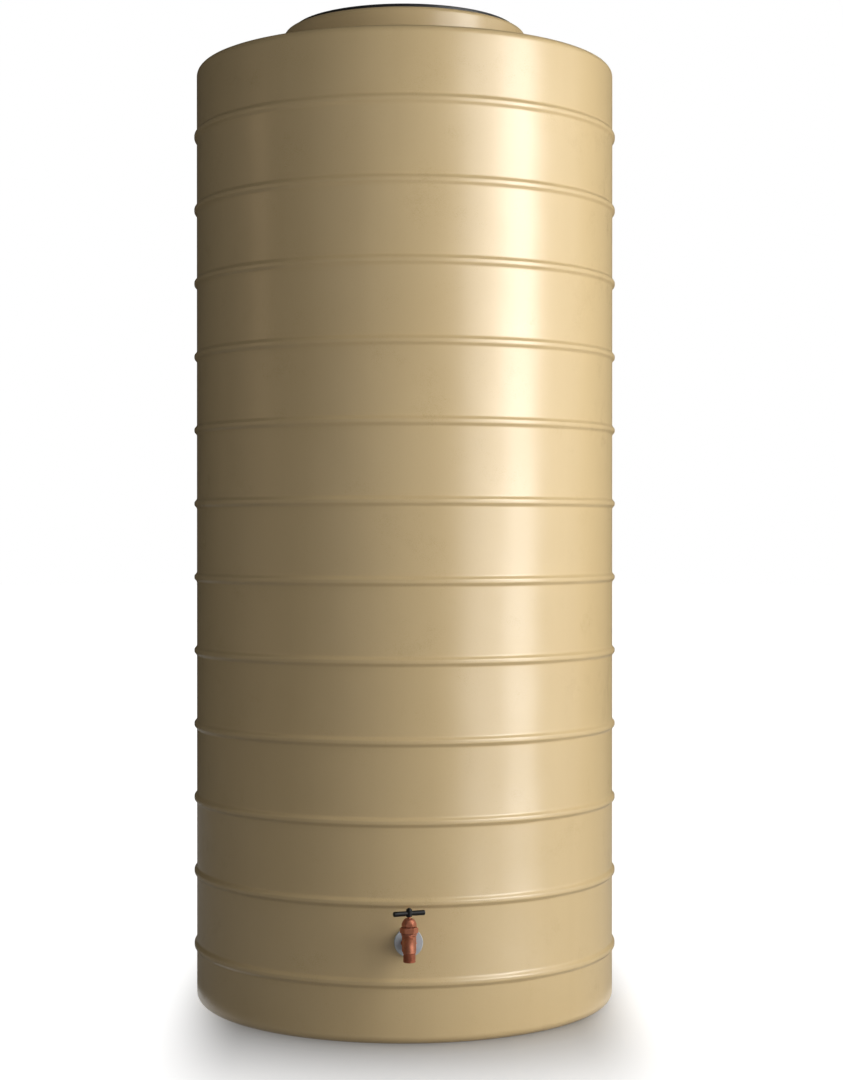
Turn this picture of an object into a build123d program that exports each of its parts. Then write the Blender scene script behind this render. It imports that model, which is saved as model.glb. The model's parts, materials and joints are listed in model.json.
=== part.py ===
# Slimline rainwater tank: a tall rotomoulded cylinder with ring beads, a screw-in lid in a
# raised neck, a brass bib tap at the foot of the front and an overflow at the top of the back.
# Millimetres, +Z up, the origin at the centre of the base, the tap pointing to -Y.
import math
import os

from build123d import *

os.makedirs("parts", exist_ok=True)

# Tank shell
tank_radius = 390
wall = 5
shoulder_height = 1734
base_edge_radius = 16
shoulder_radius = 14
dome_rise = 24

# Ring beads round the wall
bead_count = 12
first_bead_height = 105.3
last_bead_drop = 124.8
bead_width = 17
bead_crown = 6
bead_rise = 4.8

# Raised neck: up the collar, over a flat land and down a threaded throat
throat_radius = 197
throat_depth = 42
neck_land = 30
neck_height = 50
neck_edge_radius = 9
neck_foot_radius = 8
throat_edge_radius = 4

# Quick thread of short ramped lugs between the throat and the lid's skirt
thread_starts = 3
thread_lead = 60
lug_rise = 4.2
lug_crest = 5
lug_root = 8
lug_clearance = 0.3
lug_tip_gap = 0.5
neck_lug_angle = 95
neck_lug_drop = 30
lid_lug_angle = 40
lid_lug_lag = 15

# Lid
lid_overhang = 13
lid_wall = 5
lip_width = 3.5
lip_gap = 0.3
lid_edge_bevel = 2
skirt_wall = 4
skirt_depth = 40
lid_dome_inset = 19
lid_dome_rise = 16
rib_count = 8
rib_inner_radius = 55
rib_inset = 13
rib_width = 7
rib_height = 6
rib_ramp = 9

# Lid seal, a flat ring inside the lid's lip
seal_thickness = 3
seal_side_gap = 0.3

# Fits shared by the fittings
thread_fit = 0.05
seat_gap = 0.05
hole_gap = 0.6
washer_thickness = 3
flange_bevel = 1.2

# Flanged connector that carries the tap
tap_height = 176.5
connector_flange_radius = 24.5
flange_thickness = 5
connector_shank_radius = 16.6
connector_washer_radius = 23.5
connector_nut_flats = 46
connector_nut_height = 8
shank_end = 4

# Tap body
tap_thread_radius = 10.48
inlet_thread_length = 21
inlet_flats = 24
inlet_hex_length = 6
barrel_radius = 10.2
spindle_offset = 41
chamber_radius = 12
chamber_bottom = -9.5
chamber_top = 24
chamber_edge_radius = 5
boss_radius = 13.6
boss_height = 4.5
waterway_radius = 5
sump_radius = 7
sump_bottom = -6.5
sump_top = 4.5
seat_floor = 7.5
seat_top = 9.5
seat_bore_radius = 6.2
seat_ring_radius = 7.6
chamber_bore_radius = 10
thread_runout = 1
spout_mouth_gap = 0.5

# Spout
spout_radius = 9.8
spout_bore_radius = 6.8
spout_reach = 26
elbow_radius = 14
nozzle_top = -3
nozzle_bottom = -19
nozzle_edge = 0.8

# Bonnet and gland
gasket_thickness = 1
gasket_radius = 13.3
bonnet_flats = 27
bonnet_hex_height = 9.5
bonnet_skirt_length = 10
bonnet_skirt_bore_radius = 8.2
spindle_thread_start = 22
bonnet_neck_radius = 7.3
bonnet_neck_top = 45
packing_floor = 38.7
packing_ledge = 1.5
packing_radius = 5.5
packing_gap = 0.1
packing_height = 4.3
gland_flats = 22
gland_bottom = 36
gland_top = 49
gland_roof = 3.7
gland_crown_radius = 5.8
gland_shoulder = 9
stem_gap = 0.1
hex_chamfer = 1.4

# Spindle, valve and handle
stem_radius = 3.25
spindle_thread_radius = 5.45
spindle_thread_length = 15.5
spindle_seat_gap = 0.3
square_width = 4.6
square_height = 10.8
square_gap = 0.1
jumper_radius = 7.4
jumper_thickness = 3
jumper_stem_radius = 2.8
jumper_stem_length = 10.8
jumper_stud_radius = 1.5
jumper_stud_end = 0.6
valve_washer_radius = 7.3
valve_washer_thickness = 3.5
jumper_nut_flats = 5.5
jumper_nut_height = 2.6
handle_gap = 3
hub_radius = 5.2
hub_height = 12.5
bar_radius = 4.5
bar_length = 56
bar_drop = 6
bar_end_bevel = 1.8
handle_angle = 18
screw_radius = 1.45
screw_length = 8.5
screw_head_radius = 3.4
screw_head_height = 2.5
screw_slot = 0.8

# Overflow at the back
overflow_drop = 70
overflow_flange_radius = 42
overflow_shank_radius = 29.8
overflow_washer_radius = 40
overflow_nut_flats = 76
overflow_nut_height = 9
overflow_pipe_bore_radius = 25.2
overflow_socket_wall = 4.3
overflow_socket_depth = 22
overflow_throat_radius = 21.5
screen_radius = 23.4
screen_thickness = 1.2
screen_gap = 0.1
screen_hole_radius = 2.8
screen_ring_pitch = 8.6

# Heights and radii that follow from the sizes above
inner_radius = tank_radius - wall
bead_pitch = (shoulder_height - last_bead_drop - first_bead_height) / (bead_count - 1)
overflow_height = shoulder_height - overflow_drop
neck_radius = throat_radius + neck_land
neck_foot = shoulder_height + dome_rise
neck_top = neck_foot + neck_height
lid_radius = throat_radius + lid_overhang
lid_dome_radius = throat_radius - lid_dome_inset
rib_outer_radius = lid_dome_radius - rib_inset
lid_underside = neck_top + seal_thickness
lid_top = lid_underside + lid_wall
throat_crest_radius = throat_radius - lug_rise
skirt_radius = throat_crest_radius - lug_tip_gap
lid_lug_rise = throat_radius - lug_tip_gap - skirt_radius
dome_slope = math.atan2(dome_rise, tank_radius - neck_radius)
dome_ball_radius = (lid_dome_radius**2 + lid_dome_rise**2) / (2 * lid_dome_rise)
dome_ball_height = lid_top + lid_dome_rise - dome_ball_radius


def hexagon_tips(flats, top):
    """Half section, radius and height, of what turning takes off the tips of a hexagon's top."""
    tip = flats / math.sqrt(3) + hex_chamfer
    return [(flats / 2, top), (tip, top), (tip, top - hex_chamfer)]


def nut_tips(flats, face, inward=1):
    """The same for a hexagon that lies on its side, as reach and radius, inward along +1 or -1."""
    tip = flats / math.sqrt(3) + hex_chamfer
    return [(face, flats / 2), (face, tip), (face + inward * hex_chamfer, tip)]


def nut_face(washer_radius):
    """How far from the tank's axis an inner washer ends that seats on the curved wall."""
    return math.sqrt(inner_radius**2 - washer_radius**2) - washer_thickness


# Shell: one closed strip from the base's centre up the wall, over the neck and back
shell_outside = [
    (0, 0),
    (tank_radius, 0),
    (tank_radius, shoulder_height),
    (neck_radius, neck_foot),
    (neck_radius, neck_top),
    (throat_radius, neck_top),
    (throat_radius, neck_top - throat_depth),
]
corner_drop = wall * (1 / math.cos(dome_slope) - math.tan(dome_slope))
shell_inside = [
    (throat_radius + wall, neck_top - throat_depth),
    (throat_radius + wall, neck_top - wall),
    (neck_radius - wall, neck_top - wall),
    (neck_radius - wall, neck_foot - corner_drop),
    (inner_radius, shoulder_height - corner_drop),
    (inner_radius, wall),
    (0, wall),
]
outside_corners = [
    base_edge_radius,
    shoulder_radius,
    neck_foot_radius,
    neck_edge_radius,
    throat_edge_radius,
]
inside_corners = [
    0,
    neck_edge_radius - wall,
    neck_foot_radius + wall,
    shoulder_radius - wall,
    base_edge_radius - wall,
]

# One ramped lug of the throat, starting at +X and rising anticlockwise
neck_lug_height = neck_top - neck_lug_drop
with BuildPart() as neck_lug:
    with BuildLine():
        neck_ramp = Helix(
            thread_lead,
            thread_lead * neck_lug_angle / 360,
            throat_radius,
            center=(0, 0, neck_lug_height),
        )
    with BuildSketch(Plane.XZ):
        with BuildLine():
            Polyline(
                (throat_radius + 1, neck_lug_height - lug_root / 2),
                (throat_radius, neck_lug_height - lug_root / 2),
                (throat_crest_radius, neck_lug_height - lug_crest / 2),
                (throat_crest_radius, neck_lug_height + lug_crest / 2),
                (throat_radius, neck_lug_height + lug_root / 2),
                (throat_radius + 1, neck_lug_height + lug_root / 2),
                close=True,
            )
        make_face()
    sweep(path=neck_ramp, is_frenet=True)

with BuildPart() as tank_shell:
    with BuildSketch(Plane.XZ):
        with BuildLine():
            FilletPolyline(
                *shell_outside,
                *shell_inside,
                (0, 0),
                radius=[0, *outside_corners, 0, 0, *inside_corners, 0],
            )
        make_face()
        for bead in range(bead_count):
            middle = first_bead_height + bead * bead_pitch
            with BuildLine():
                Polyline(
                    (tank_radius - wall / 2, middle - bead_width / 2),
                    (tank_radius, middle - bead_width / 2),
                    (tank_radius + bead_rise, middle - bead_crown / 2),
                    (tank_radius + bead_rise, middle + bead_crown / 2),
                    (tank_radius, middle + bead_width / 2),
                    (tank_radius - wall / 2, middle + bead_width / 2),
                    close=True,
                )
            make_face()
    revolve(axis=Axis.Z)
    for start in range(thread_starts):
        add(neck_lug.part, rotation=(0, 0, start * 360 / thread_starts))
    with BuildSketch(Plane.XZ.offset(inner_radius / 2)):
        with Locations((0, tap_height)):
            Circle(connector_shank_radius + hole_gap)
    extrude(amount=tank_radius, mode=Mode.SUBTRACT)
    with BuildSketch(Plane.XZ.offset(-inner_radius / 2)):
        with Locations((0, overflow_height)):
            Circle(overflow_shank_radius + hole_gap)
    extrude(amount=-tank_radius, mode=Mode.SUBTRACT)
tank_shell.part.label = "tank_shell"
export_step(tank_shell.part, "parts/tank_shell.step")

# One ramped lug of the lid, which runs up the underside of the throat's lug
lug_spacing = (lug_root + lug_crest) / 2 + lug_clearance
lid_lug_height = neck_lug_height - lug_spacing + thread_lead * lid_lug_lag / 360
with BuildPart() as lid_lug:
    with BuildLine():
        lid_ramp = Helix(
            thread_lead,
            thread_lead * lid_lug_angle / 360,
            skirt_radius,
            center=(0, 0, lid_lug_height),
        )
    with BuildSketch(Plane.XZ):
        with BuildLine():
            Polyline(
                (skirt_radius - skirt_wall / 2, lid_lug_height - lug_root / 2),
                (skirt_radius, lid_lug_height - lug_root / 2),
                (skirt_radius + lid_lug_rise, lid_lug_height - lug_crest / 2),
                (skirt_radius + lid_lug_rise, lid_lug_height + lug_crest / 2),
                (skirt_radius, lid_lug_height + lug_root / 2),
                (skirt_radius - skirt_wall / 2, lid_lug_height + lug_root / 2),
                close=True,
            )
        make_face()
    sweep(path=lid_ramp, is_frenet=True)

# One grip rib on the lid's dome, along +X
rib_foot = [
    dome_ball_height + math.sqrt(dome_ball_radius**2 - radius**2)
    for radius in (rib_inner_radius, rib_outer_radius)
]
with BuildPart() as grip_rib:
    with BuildSketch(Plane.XZ):
        with BuildLine():
            Polyline(
                (rib_inner_radius, rib_foot[0] - lid_wall / 4),
                (rib_inner_radius, rib_foot[0]),
                (rib_inner_radius + rib_ramp, rib_foot[0] + rib_height),
                (rib_outer_radius - rib_ramp, rib_foot[1] + rib_height),
                (rib_outer_radius, rib_foot[1]),
                (rib_outer_radius, rib_foot[1] - lid_wall / 4),
                close=True,
            )
        make_face()
    extrude(amount=rib_width / 2, both=True)

# Lid: domed plate with a lip over the seal and a skirt that carries the lugs
dome_angle = math.degrees(math.asin(lid_dome_radius / dome_ball_radius))
ceiling_radius = math.sqrt(lid_dome_radius**2 - 2 * lid_wall * lid_dome_rise)
ceiling_angle = math.degrees(math.asin(ceiling_radius / (dome_ball_radius - lid_wall)))
with BuildPart() as lid:
    with BuildSketch(Plane.XZ):
        with BuildLine():
            dome = CenterArc((0, dome_ball_height), dome_ball_radius, 90 - dome_angle, dome_angle)
            ceiling = CenterArc(
                (0, dome_ball_height), dome_ball_radius - lid_wall, 90 - ceiling_angle, ceiling_angle
            )
            rim = Polyline(
                dome @ 0,
                (lid_radius - lid_edge_bevel, lid_top),
                (lid_radius, lid_top - lid_edge_bevel),
                (lid_radius, neck_top + lip_gap),
                (lid_radius - lip_width, neck_top + lip_gap),
                (lid_radius - lip_width, lid_underside),
                (skirt_radius, lid_underside),
                (skirt_radius, neck_top - skirt_depth),
                (skirt_radius - skirt_wall, neck_top - skirt_depth),
                (skirt_radius - skirt_wall, lid_underside),
                ceiling @ 0,
            )
            Line(dome @ 1, ceiling @ 1)
        make_face()
    revolve(axis=Axis.Z)
    for start in range(thread_starts):
        add(lid_lug.part, rotation=(0, 0, lid_lug_lag + start * 360 / thread_starts))
    for rib in range(rib_count):
        add(grip_rib.part, rotation=(0, 0, rib * 360 / rib_count))
lid.part.label = "lid"
export_step(lid.part, "parts/lid.step")

with BuildPart() as lid_seal:
    with BuildSketch(Plane.XY.offset(neck_top)):
        Circle(lid_radius - lip_width - seal_side_gap)
        Circle(throat_radius + throat_edge_radius + seal_side_gap, mode=Mode.SUBTRACT)
    extrude(amount=seal_thickness)
lid_seal.part.label = "lid_seal"
export_step(lid_seal.part, "parts/lid_seal.step")

# Planes through the tap: seen from its side with distance from the tank's axis and height
# above the inlet, and upright planes and levels on the spindle
side_plane = Plane(origin=(0, 0, tap_height), x_dir=(0, -1, 0), z_dir=(-1, 0, 0))
inlet_axis = Axis((0, 0, tap_height), (0, -1, 0))
flange_seat = tank_radius + washer_thickness
flange_face = flange_seat + flange_thickness
spindle_reach = flange_face + spindle_offset
nozzle_reach = spindle_reach + spout_reach
spindle_plane = Plane(origin=(0, -spindle_reach, tap_height), x_dir=(1, 0, 0), z_dir=(0, -1, 0))
spindle_axis = Axis((0, -spindle_reach, tap_height), (0, 0, 1))


def spindle_level(height):
    """The level plane at a height above the inlet, centred on the spindle."""
    return Plane(origin=(0, -spindle_reach, tap_height + height))


def bow(radius):
    """Enough depth for a round washer of this radius to reach the curved wall all over."""
    return radius**2 / inner_radius


connector_nut_face = nut_face(connector_washer_radius)
connector_tip = connector_nut_face - connector_nut_height - shank_end
connector_bore_radius = tap_thread_radius + thread_fit
with BuildPart() as tank_connector:
    with BuildSketch(side_plane):
        with BuildLine():
            Polyline(
                (connector_tip, connector_bore_radius),
                (connector_tip, connector_shank_radius),
                (flange_seat, connector_shank_radius),
                (flange_seat, connector_flange_radius),
                (flange_face - flange_bevel, connector_flange_radius),
                (flange_face, connector_flange_radius - flange_bevel),
                (flange_face, connector_bore_radius),
                close=True,
            )
        make_face()
    revolve(axis=inlet_axis)
tank_connector.part.label = "tank_connector"
export_step(tank_connector.part, "parts/tank_connector.step")

with BuildPart() as connector_outer_washer:
    with BuildSketch(Plane.XZ.offset(flange_seat)):
        with Locations((0, tap_height)):
            Circle(connector_washer_radius)
            Circle(connector_shank_radius + hole_gap / 2, mode=Mode.SUBTRACT)
    extrude(amount=-washer_thickness - bow(connector_washer_radius))
    with Locations((0, 0, tap_height)):
        Cylinder(tank_radius + seat_gap, 4 * connector_washer_radius, mode=Mode.SUBTRACT)
connector_outer_washer.part.label = "connector_outer_washer"
export_step(connector_outer_washer.part, "parts/connector_outer_washer.step")

with BuildPart() as connector_inner_washer:
    with BuildSketch(Plane.XZ.offset(connector_nut_face)):
        with Locations((0, tap_height)):
            Circle(connector_washer_radius)
            Circle(connector_shank_radius + hole_gap / 2, mode=Mode.SUBTRACT)
    extrude(amount=washer_thickness + bow(connector_washer_radius))
    with Locations((0, 0, tap_height)):
        Cylinder(inner_radius - seat_gap, 4 * connector_washer_radius, mode=Mode.INTERSECT)
connector_inner_washer.part.label = "connector_inner_washer"
export_step(connector_inner_washer.part, "parts/connector_inner_washer.step")

with BuildPart() as connector_backnut:
    with BuildSketch(Plane.XZ.offset(connector_nut_face)):
        with Locations((0, tap_height)):
            RegularPolygon(connector_nut_flats / 2, 6, major_radius=False)
            Circle(connector_shank_radius + thread_fit, mode=Mode.SUBTRACT)
    extrude(amount=-connector_nut_height)
    with BuildSketch(side_plane):
        with BuildLine():
            Polyline(*nut_tips(connector_nut_flats, connector_nut_face - connector_nut_height), close=True)
        make_face()
    revolve(axis=inlet_axis, mode=Mode.SUBTRACT)
connector_backnut.part.label = "connector_backnut"
export_step(connector_backnut.part, "parts/connector_backnut.step")

# Tap body: inlet, chamber with the valve seat, spout and threaded nozzle
elbow_height = nozzle_top + elbow_radius
spout_mouth = spindle_reach + seat_ring_radius + spout_mouth_gap
bonnet_seat = chamber_top + gasket_thickness
bonnet_skirt_end = bonnet_seat - bonnet_skirt_length
with BuildPart() as tap_body:
    with BuildSketch(Plane.XZ.offset(flange_face)):
        with Locations((0, tap_height)):
            Circle(tap_thread_radius)
    extrude(amount=-inlet_thread_length)
    with BuildSketch(Plane.XZ.offset(flange_face)):
        with Locations((0, tap_height)):
            RegularPolygon(inlet_flats / 2, 6, major_radius=False)
    extrude(amount=inlet_hex_length)
    with BuildSketch(side_plane):
        with BuildLine():
            Polyline(*nut_tips(inlet_flats, flange_face + inlet_hex_length, -1), close=True)
        make_face()
    revolve(axis=inlet_axis, mode=Mode.SUBTRACT)
    with BuildSketch(Plane.XZ.offset(flange_face)):
        with Locations((0, tap_height)):
            Circle(barrel_radius)
    extrude(amount=spindle_offset)
    with BuildSketch(spindle_plane):
        with BuildLine():
            FilletPolyline(
                (0, chamber_bottom),
                (chamber_radius, chamber_bottom),
                (chamber_radius, chamber_top - boss_height),
                (boss_radius, chamber_top - boss_height / 2),
                (boss_radius, chamber_top),
                (0, chamber_top),
                (0, chamber_bottom),
                radius=[0, chamber_edge_radius, 0, 0, 0, 0],
            )
        make_face()
    revolve(axis=spindle_axis)
    with BuildLine(side_plane):
        spout_line = FilletPolyline(
            (spindle_reach, elbow_height),
            (nozzle_reach, elbow_height),
            (nozzle_reach, (nozzle_top + nozzle_bottom) / 2),
            radius=elbow_radius,
        )
    with BuildSketch(Plane(origin=spindle_level(elbow_height).origin, z_dir=(0, -1, 0))):
        Circle(spout_radius)
    sweep(path=spout_line)
    with BuildSketch(Plane(origin=(0, -nozzle_reach, tap_height), x_dir=(1, 0, 0), z_dir=(0, -1, 0))):
        with BuildLine():
            Polyline(
                (0, nozzle_bottom),
                (tap_thread_radius - nozzle_edge, nozzle_bottom),
                (tap_thread_radius, nozzle_bottom + nozzle_edge),
                (tap_thread_radius, nozzle_top),
                (0, nozzle_top),
                close=True,
            )
        make_face()
    revolve(axis=Axis((0, -nozzle_reach, tap_height), (0, 0, 1)))
    with BuildSketch(Plane.XZ.offset(flange_face - inlet_thread_length)):
        with Locations((0, tap_height)):
            Circle(waterway_radius)
    extrude(amount=inlet_thread_length + spindle_offset - sump_radius / 2, mode=Mode.SUBTRACT)
    with BuildSketch(spindle_plane):
        with BuildLine():
            Polyline(
                (0, sump_bottom),
                (sump_radius, sump_bottom),
                (sump_radius, sump_top),
                (seat_bore_radius, sump_top),
                (seat_bore_radius, seat_top),
                (seat_ring_radius, seat_top),
                (seat_ring_radius, seat_floor),
                (chamber_bore_radius, seat_floor),
                (chamber_bore_radius, bonnet_skirt_end - thread_runout),
                (tap_thread_radius + thread_fit, bonnet_skirt_end - thread_runout),
                (tap_thread_radius + thread_fit, chamber_top),
                (0, chamber_top),
                close=True,
            )
        make_face()
    revolve(axis=spindle_axis, mode=Mode.SUBTRACT)
    with BuildLine(side_plane):
        bore_line = FilletPolyline(
            (spout_mouth, elbow_height),
            (nozzle_reach, elbow_height),
            (nozzle_reach, nozzle_bottom),
            radius=elbow_radius,
        )
    with BuildSketch(Plane(origin=(0, -spout_mouth, tap_height + elbow_height), z_dir=(0, -1, 0))):
        Circle(spout_bore_radius)
    sweep(path=bore_line, mode=Mode.SUBTRACT)
tap_body.part.label = "tap_body"
export_step(tap_body.part, "parts/tap_body.step")

with BuildPart() as bonnet_gasket:
    with BuildSketch(spindle_level(chamber_top)):
        Circle(gasket_radius)
        Circle(tap_thread_radius + hole_gap / 2, mode=Mode.SUBTRACT)
    extrude(amount=gasket_thickness)
bonnet_gasket.part.label = "bonnet_gasket"
export_step(bonnet_gasket.part, "parts/bonnet_gasket.step")

# Bonnet: hexagon, skirt screwed into the body, spindle thread and packing box
bonnet_hex_top = bonnet_seat + bonnet_hex_height
with BuildPart() as tap_bonnet:
    with BuildSketch(spindle_level(bonnet_seat)):
        RegularPolygon(bonnet_flats / 2, 6, major_radius=False)
    extrude(amount=bonnet_hex_height)
    with BuildSketch(spindle_plane):
        with BuildLine():
            Polyline(*hexagon_tips(bonnet_flats, bonnet_hex_top), close=True)
        make_face()
    revolve(axis=spindle_axis, mode=Mode.SUBTRACT)
    with BuildSketch(spindle_level(bonnet_seat)):
        Circle(tap_thread_radius)
    extrude(amount=-bonnet_skirt_length)
    with BuildSketch(spindle_level(bonnet_hex_top)):
        Circle(bonnet_neck_radius)
    extrude(amount=bonnet_neck_top - bonnet_hex_top)
    with BuildSketch(spindle_plane):
        with BuildLine():
            Polyline(
                (0, bonnet_skirt_end),
                (bonnet_skirt_bore_radius, bonnet_skirt_end),
                (bonnet_skirt_bore_radius, spindle_thread_start),
                (spindle_thread_radius + thread_fit, spindle_thread_start),
                (spindle_thread_radius + thread_fit, packing_floor - packing_ledge),
                (stem_radius + stem_gap, packing_floor - packing_ledge),
                (stem_radius + stem_gap, packing_floor),
                (packing_radius + packing_gap, packing_floor),
                (packing_radius + packing_gap, bonnet_neck_top),
                (0, bonnet_neck_top),
                close=True,
            )
        make_face()
    revolve(axis=spindle_axis, mode=Mode.SUBTRACT)
tap_bonnet.part.label = "tap_bonnet"
export_step(tap_bonnet.part, "parts/tap_bonnet.step")

with BuildPart() as gland_packing:
    with BuildSketch(spindle_level(packing_floor)):
        Circle(packing_radius)
        Circle(stem_radius + thread_fit, mode=Mode.SUBTRACT)
    extrude(amount=packing_height)
gland_packing.part.label = "gland_packing"
export_step(gland_packing.part, "parts/gland_packing.step")

# Gland nut: rounded hexagon cap whose nose presses on the packing
packing_top = packing_floor + packing_height
gland_ceiling = gland_top - gland_roof
with BuildPart() as gland_nut:
    with BuildSketch(spindle_level(gland_bottom)):
        RegularPolygon(gland_flats / 2, 6, major_radius=False)
    extrude(amount=gland_top - gland_bottom)
    with BuildSketch(spindle_plane):
        with BuildLine():
            crown = RadiusArc(
                (gland_crown_radius, gland_top),
                (gland_flats / math.sqrt(3), gland_top - gland_shoulder),
                gland_flats / 2,
            )
            Polyline(
                crown @ 1,
                (gland_flats, gland_top - gland_shoulder),
                (gland_flats, gland_top),
                crown @ 0,
            )
        make_face()
    revolve(axis=spindle_axis, mode=Mode.SUBTRACT)
    with BuildSketch(spindle_plane):
        with BuildLine():
            Polyline(
                (0, gland_bottom),
                (bonnet_neck_radius + thread_fit, gland_bottom),
                (bonnet_neck_radius + thread_fit, gland_ceiling),
                (packing_radius, gland_ceiling),
                (packing_radius, packing_top),
                (stem_radius + stem_gap, packing_top),
                (stem_radius + stem_gap, gland_top),
                (0, gland_top),
                close=True,
            )
        make_face()
    revolve(axis=spindle_axis, mode=Mode.SUBTRACT)
gland_nut.part.label = "gland_nut"
export_step(gland_nut.part, "parts/gland_nut.step")

# Jumper valve: disc with a stem up into the spindle and a stud for its washer and nut
disc_bottom = seat_top + valve_washer_thickness
disc_top = disc_bottom + jumper_thickness
with BuildPart() as jumper:
    with BuildSketch(spindle_level(disc_bottom)):
        Circle(jumper_radius)
    extrude(amount=jumper_thickness)
    with BuildSketch(spindle_level(disc_top)):
        Circle(jumper_stem_radius)
    extrude(amount=jumper_stem_length)
    chamfer(jumper.edges().group_by(Axis.Z)[-1], stem_gap * 4)
    with BuildSketch(spindle_level(disc_bottom)):
        Circle(jumper_stud_radius)
    extrude(amount=-valve_washer_thickness - jumper_nut_height - jumper_stud_end)
jumper.part.label = "jumper"
export_step(jumper.part, "parts/jumper.step")

with BuildPart() as jumper_washer:
    with BuildSketch(spindle_level(seat_top)):
        Circle(valve_washer_radius)
        Circle(jumper_stud_radius + thread_fit, mode=Mode.SUBTRACT)
    extrude(amount=valve_washer_thickness)
jumper_washer.part.label = "jumper_washer"
export_step(jumper_washer.part, "parts/jumper_washer.step")

with BuildPart() as jumper_nut:
    with BuildSketch(spindle_level(seat_top)):
        RegularPolygon(jumper_nut_flats / 2, 6, major_radius=False)
        Circle(jumper_stud_radius + thread_fit, mode=Mode.SUBTRACT)
    extrude(amount=-jumper_nut_height)
jumper_nut.part.label = "jumper_nut"
export_step(jumper_nut.part, "parts/jumper_nut.step")

# Spindle: bored foot over the jumper's stem, thread, stem and a square for the handle
spindle_foot = disc_top + spindle_seat_gap
spindle_shoulder = spindle_foot + spindle_thread_length
hub_bottom = gland_top + handle_gap
square_foot = hub_bottom - square_gap * 3
square_top = square_foot + square_height
with BuildPart() as spindle:
    with BuildSketch(spindle_level(spindle_foot)):
        Circle(spindle_thread_radius)
    extrude(amount=spindle_thread_length)
    with BuildSketch(spindle_level(spindle_shoulder)):
        Circle(stem_radius)
    extrude(amount=square_foot - spindle_shoulder)
    with BuildSketch(spindle_level(square_foot)):
        Rectangle(square_width, square_width, rotation=handle_angle)
    extrude(amount=square_height)
    with BuildSketch(spindle_level(spindle_foot)):
        Circle(jumper_stem_radius + stem_gap)
    extrude(amount=jumper_stem_length + stem_gap * 4, mode=Mode.SUBTRACT)
    with BuildSketch(spindle_level(square_top)):
        Circle(screw_radius + thread_fit)
    extrude(amount=-screw_length, mode=Mode.SUBTRACT)
spindle.part.label = "spindle"
export_step(spindle.part, "parts/spindle.step")

# T-handle: round bar across a hub with a square socket
hub_top = hub_bottom + hub_height
bar_height = hub_top - bar_drop
handle_turn = math.radians(handle_angle)
bar_direction = (math.cos(handle_turn), math.sin(handle_turn), 0)
with BuildPart() as t_handle:
    with BuildSketch(Plane(origin=spindle_level(bar_height).origin, z_dir=bar_direction)):
        Circle(bar_radius)
    extrude(amount=bar_length / 2, both=True)
    chamfer(t_handle.edges().filter_by(GeomType.CIRCLE), bar_end_bevel)
    with BuildSketch(spindle_level(hub_bottom)):
        Circle(hub_radius)
    extrude(amount=hub_height)
    with BuildSketch(spindle_level(hub_bottom)):
        Rectangle(square_width + 2 * square_gap, square_width + 2 * square_gap, rotation=handle_angle)
    extrude(amount=square_top + square_gap - hub_bottom, mode=Mode.SUBTRACT)
    with BuildSketch(spindle_level(hub_top)):
        Circle(screw_radius + 2 * stem_gap)
    extrude(amount=-hub_height, mode=Mode.SUBTRACT)
t_handle.part.label = "t_handle"
export_step(t_handle.part, "parts/t_handle.step")

with BuildPart() as handle_screw:
    with BuildSketch(spindle_plane):
        with BuildLine():
            head_arc = ThreePointArc(
                (-screw_head_radius, hub_top + screw_head_height / 3),
                (0, hub_top + screw_head_height),
                (screw_head_radius, hub_top + screw_head_height / 3),
            )
            Polyline(
                head_arc @ 1,
                (screw_head_radius, hub_top),
                (-screw_head_radius, hub_top),
                head_arc @ 0,
            )
        make_face()
        with Locations((-screw_head_radius, hub_top + screw_head_height / 2)):
            Rectangle(2 * screw_head_radius, 2 * screw_head_height, mode=Mode.SUBTRACT)
    revolve(axis=spindle_axis)
    with BuildSketch(spindle_level(hub_top)):
        Circle(screw_radius)
    extrude(amount=-screw_length)
    with BuildSketch(spindle_level(hub_top + screw_head_height)):
        Rectangle(3 * screw_head_radius, screw_slot, rotation=handle_angle)
    extrude(amount=-screw_head_height / 2, mode=Mode.SUBTRACT)
handle_screw.part.label = "handle_screw"
export_step(handle_screw.part, "parts/handle_screw.step")

# Overflow: flanged bush with a socket for a 50 mm pipe outside and a screen in it
back_plane = Plane(origin=(0, 0, overflow_height), x_dir=(0, 1, 0), z_dir=(1, 0, 0))
overflow_axis = Axis((0, 0, overflow_height), (0, 1, 0))
overflow_nut_face = nut_face(overflow_washer_radius)
overflow_tip = overflow_nut_face - overflow_nut_height - shank_end
screen_seat = flange_face
pipe_stop = screen_seat + screen_thickness + 2 * screen_gap
socket_end = pipe_stop + overflow_socket_depth
socket_radius = overflow_pipe_bore_radius + overflow_socket_wall
with BuildPart() as overflow_bush:
    with BuildSketch(back_plane):
        with BuildLine():
            Polyline(
                (overflow_tip, overflow_throat_radius),
                (overflow_tip, overflow_shank_radius),
                (flange_seat, overflow_shank_radius),
                (flange_seat, overflow_flange_radius),
                (flange_face - flange_bevel, overflow_flange_radius),
                (flange_face, overflow_flange_radius - flange_bevel),
                (flange_face, socket_radius),
                (socket_end, socket_radius),
                (socket_end, overflow_pipe_bore_radius),
                (pipe_stop, overflow_pipe_bore_radius),
                (pipe_stop, screen_radius + screen_gap),
                (screen_seat, screen_radius + screen_gap),
                (screen_seat, overflow_throat_radius),
                close=True,
            )
        make_face()
    revolve(axis=overflow_axis)
overflow_bush.part.label = "overflow_bush"
export_step(overflow_bush.part, "parts/overflow_bush.step")

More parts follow.
